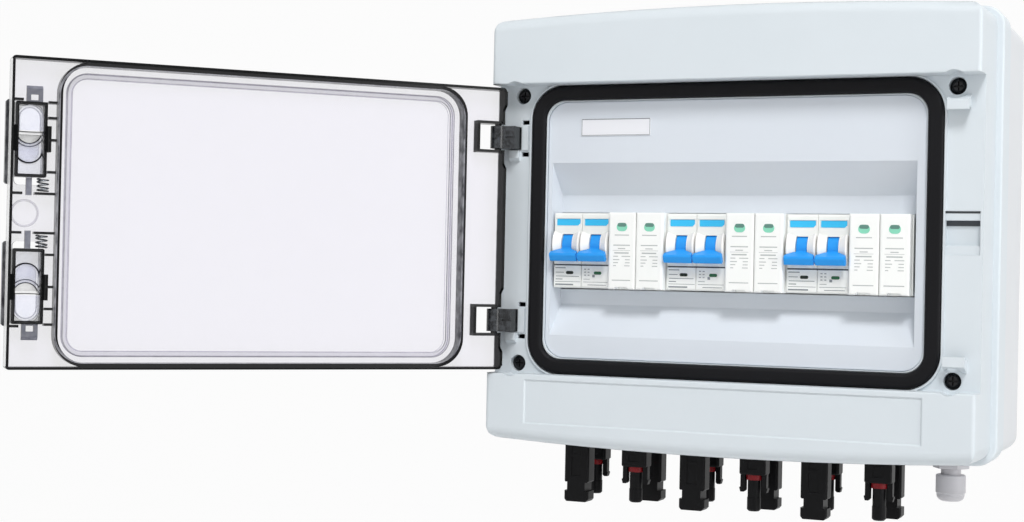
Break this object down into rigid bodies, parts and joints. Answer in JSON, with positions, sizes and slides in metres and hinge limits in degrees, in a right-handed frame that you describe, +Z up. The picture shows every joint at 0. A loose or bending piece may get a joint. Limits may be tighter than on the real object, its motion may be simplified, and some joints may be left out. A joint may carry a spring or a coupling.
{
  "type": "solar combiner box",
  "caption": "Wall box with a clear side-hinged door, a rail of breakers and plug-in surge cartridges, panel connectors and a cable gland below.",
  "frame": {"origin": "centre of the flat back face, which lies on the wall", "axes": "+Y into the wall, +Z up, +X to the right seen from the front"},
  "size_m": [0.493, 0.3506, 0.3048],
  "materials": {
    "shell": "fine matte",
    "mask": "fine matte",
    "label": "satin",
    "foam": "foam",
    "steel": "zinc plated",
    "black_steel": "satin",
    "brass": "machined",
    "breaker": "satin",
    "handle": "gloss",
    "surge": "satin",
    "clip": "satin",
    "clear": "clear polycarbonate",
    "smoke": "smoked polycarbonate",
    "connector": "fine matte",
    "red_rubber": "silicone",
    "gland_rubber": "matte",
    "gland": "satin"
  },
  "bodies": {
    "enclosure": {"base_box": "shell", "frame_seal": "foam", "front_frame": "shell", "door_seal": "foam", "inner_mask": "mask", "label_plate": "label", "din_rail": "steel", "cover_screws": "black_steel", "rail_screws": "steel", "breaker_body_1": "breaker", "surge_base_1": "surge", "breaker_body_2": "breaker", "surge_base_2": "surge", "breaker_body_3": "breaker", "surge_base_3": "surge", "terminal_screws": "steel", "hinge_clip_upper": "smoke", "hinge_clip_lower": "smoke", "pv_socket_1": "connector", "pv_socket_2": "connector", "pv_socket_3": "connector", "pv_socket_4": "connector", "pv_socket_5": "connector", "pv_socket_6": "connector", "pv_plug_1": "connector", "pv_plug_2": "connector", "pv_plug_3": "connector", "pv_plug_4": "connector", "pv_plug_5": "connector", "pv_plug_6": "connector", "connector_seals": "red_rubber", "connector_nuts": "connector", "gland_body": "gland", "gland_cap": "gland", "gland_seal": "gland_rubber", "gland_locknut": "gland", "earth_bar": "brass"},
    "door_leaf": {"door": "clear", "latch_spring_upper": "steel", "latch_spring_lower": "steel"},
    "upper_latch": {"latch_upper": "clear"},
    "lower_latch": {"latch_lower": "clear"},
    "handle_1": {"breaker_handle_1": "handle"},
    "handle_2": {"breaker_handle_2": "handle"},
    "handle_3": {"breaker_handle_3": "handle"},
    "cartridge_1": {"surge_cartridge_1": "surge"},
    "cartridge_2": {"surge_cartridge_2": "surge"},
    "cartridge_3": {"surge_cartridge_3": "surge"},
    "cartridge_4": {"surge_cartridge_4": "surge"},
    "cartridge_5": {"surge_cartridge_5": "surge"},
    "cartridge_6": {"surge_cartridge_6": "surge"},
    "catch_1": {"rail_clip_1": "clip"},
    "catch_2": {"rail_clip_2": "clip"},
    "catch_3": {"rail_clip_3": "clip"},
    "catch_4": {"rail_clip_4": "clip"},
    "catch_5": {"rail_clip_5": "clip"},
    "catch_6": {"rail_clip_6": "clip"}
  },
  "joints": [
    {"name": "door_hinge", "type": "hinge", "parent": "enclosure", "child": "door_leaf", "pos_m": [-0.1423, -0.1352, 0], "axis": [0, 0, 1], "range_deg": [-47, 133]},
    {"name": "upper_latch_slide", "type": "slide", "parent": "door_leaf", "child": "upper_latch", "axis": [0, 0, 1], "range_m": [-0.0055, 0], "stiffness_N_per_m": 300, "springref_m": 0.004, "deforming": ["latch_spring_upper"]},
    {"name": "lower_latch_slide", "type": "slide", "parent": "door_leaf", "child": "lower_latch", "axis": [0, 0, -1], "range_m": [-0.0055, 0], "stiffness_N_per_m": 300, "springref_m": 0.004, "deforming": ["latch_spring_lower"]},
    {"name": "handle_1_turn", "type": "hinge", "parent": "enclosure", "child": "handle_1", "pos_m": [-0.0913, -0.1155, -0.00925], "axis": [-1, 0, 0], "range_deg": [0, 50]},
    {"name": "handle_2_turn", "type": "hinge", "parent": "enclosure", "child": "handle_2", "pos_m": [-0.0193, -0.1155, -0.00925], "axis": [-1, 0, 0], "range_deg": [0, 50]},
    {"name": "handle_3_turn", "type": "hinge", "parent": "enclosure", "child": "handle_3", "pos_m": [0.0527, -0.1155, -0.00925], "axis": [-1, 0, 0], "range_deg": [0, 50]},
    {"name": "cartridge_1_slide", "type": "slide", "parent": "enclosure", "child": "cartridge_1", "axis": [0, 1, 0], "range_m": [-0.04, 0]},
    {"name": "cartridge_2_slide", "type": "slide", "parent": "enclosure", "child": "cartridge_2", "axis": [0, 1, 0], "range_m": [-0.04, 0]},
    {"name": "cartridge_3_slide", "type": "slide", "parent": "enclosure", "child": "cartridge_3", "axis": [0, 1, 0], "range_m": [-0.04, 0]},
    {"name": "cartridge_4_slide", "type": "slide", "parent": "enclosure", "child": "cartridge_4", "axis": [0, 1, 0], "range_m": [-0.04, 0]},
    {"name": "cartridge_5_slide", "type": "slide", "parent": "enclosure", "child": "cartridge_5", "axis": [0, 1, 0], "range_m": [-0.04, 0]},
    {"name": "cartridge_6_slide", "type": "slide", "parent": "enclosure", "child": "cartridge_6", "axis": [0, 1, 0], "range_m": [-0.04, 0]},
    {"name": "catch_1_slide", "type": "slide", "parent": "enclosure", "child": "catch_1", "axis": [0, 0, 1], "range_m": [-0.004, 0], "stiffness_N_per_m": 500, "springref_m": 0.002},
    {"name": "catch_2_slide", "type": "slide", "parent": "enclosure", "child": "catch_2", "axis": [0, 0, 1], "range_m": [-0.004, 0], "stiffness_N_per_m": 500, "springref_m": 0.002},
    {"name": "catch_3_slide", "type": "slide", "parent": "enclosure", "child": "catch_3", "axis": [0, 0, 1], "range_m": [-0.004, 0], "stiffness_N_per_m": 500, "springref_m": 0.002},
    {"name": "catch_4_slide", "type": "slide", "parent": "enclosure", "child": "catch_4", "axis": [0, 0, 1], "range_m": [-0.004, 0], "stiffness_N_per_m": 500, "springref_m": 0.002},
    {"name": "catch_5_slide", "type": "slide", "parent": "enclosure", "child": "catch_5", "axis": [0, 0, 1], "range_m": [-0.004, 0], "stiffness_N_per_m": 500, "springref_m": 0.002},
    {"name": "catch_6_slide", "type": "slide", "parent": "enclosure", "child": "catch_6", "axis": [0, 0, 1], "range_m": [-0.004, 0], "stiffness_N_per_m": 500, "springref_m": 0.002}
  ]
}
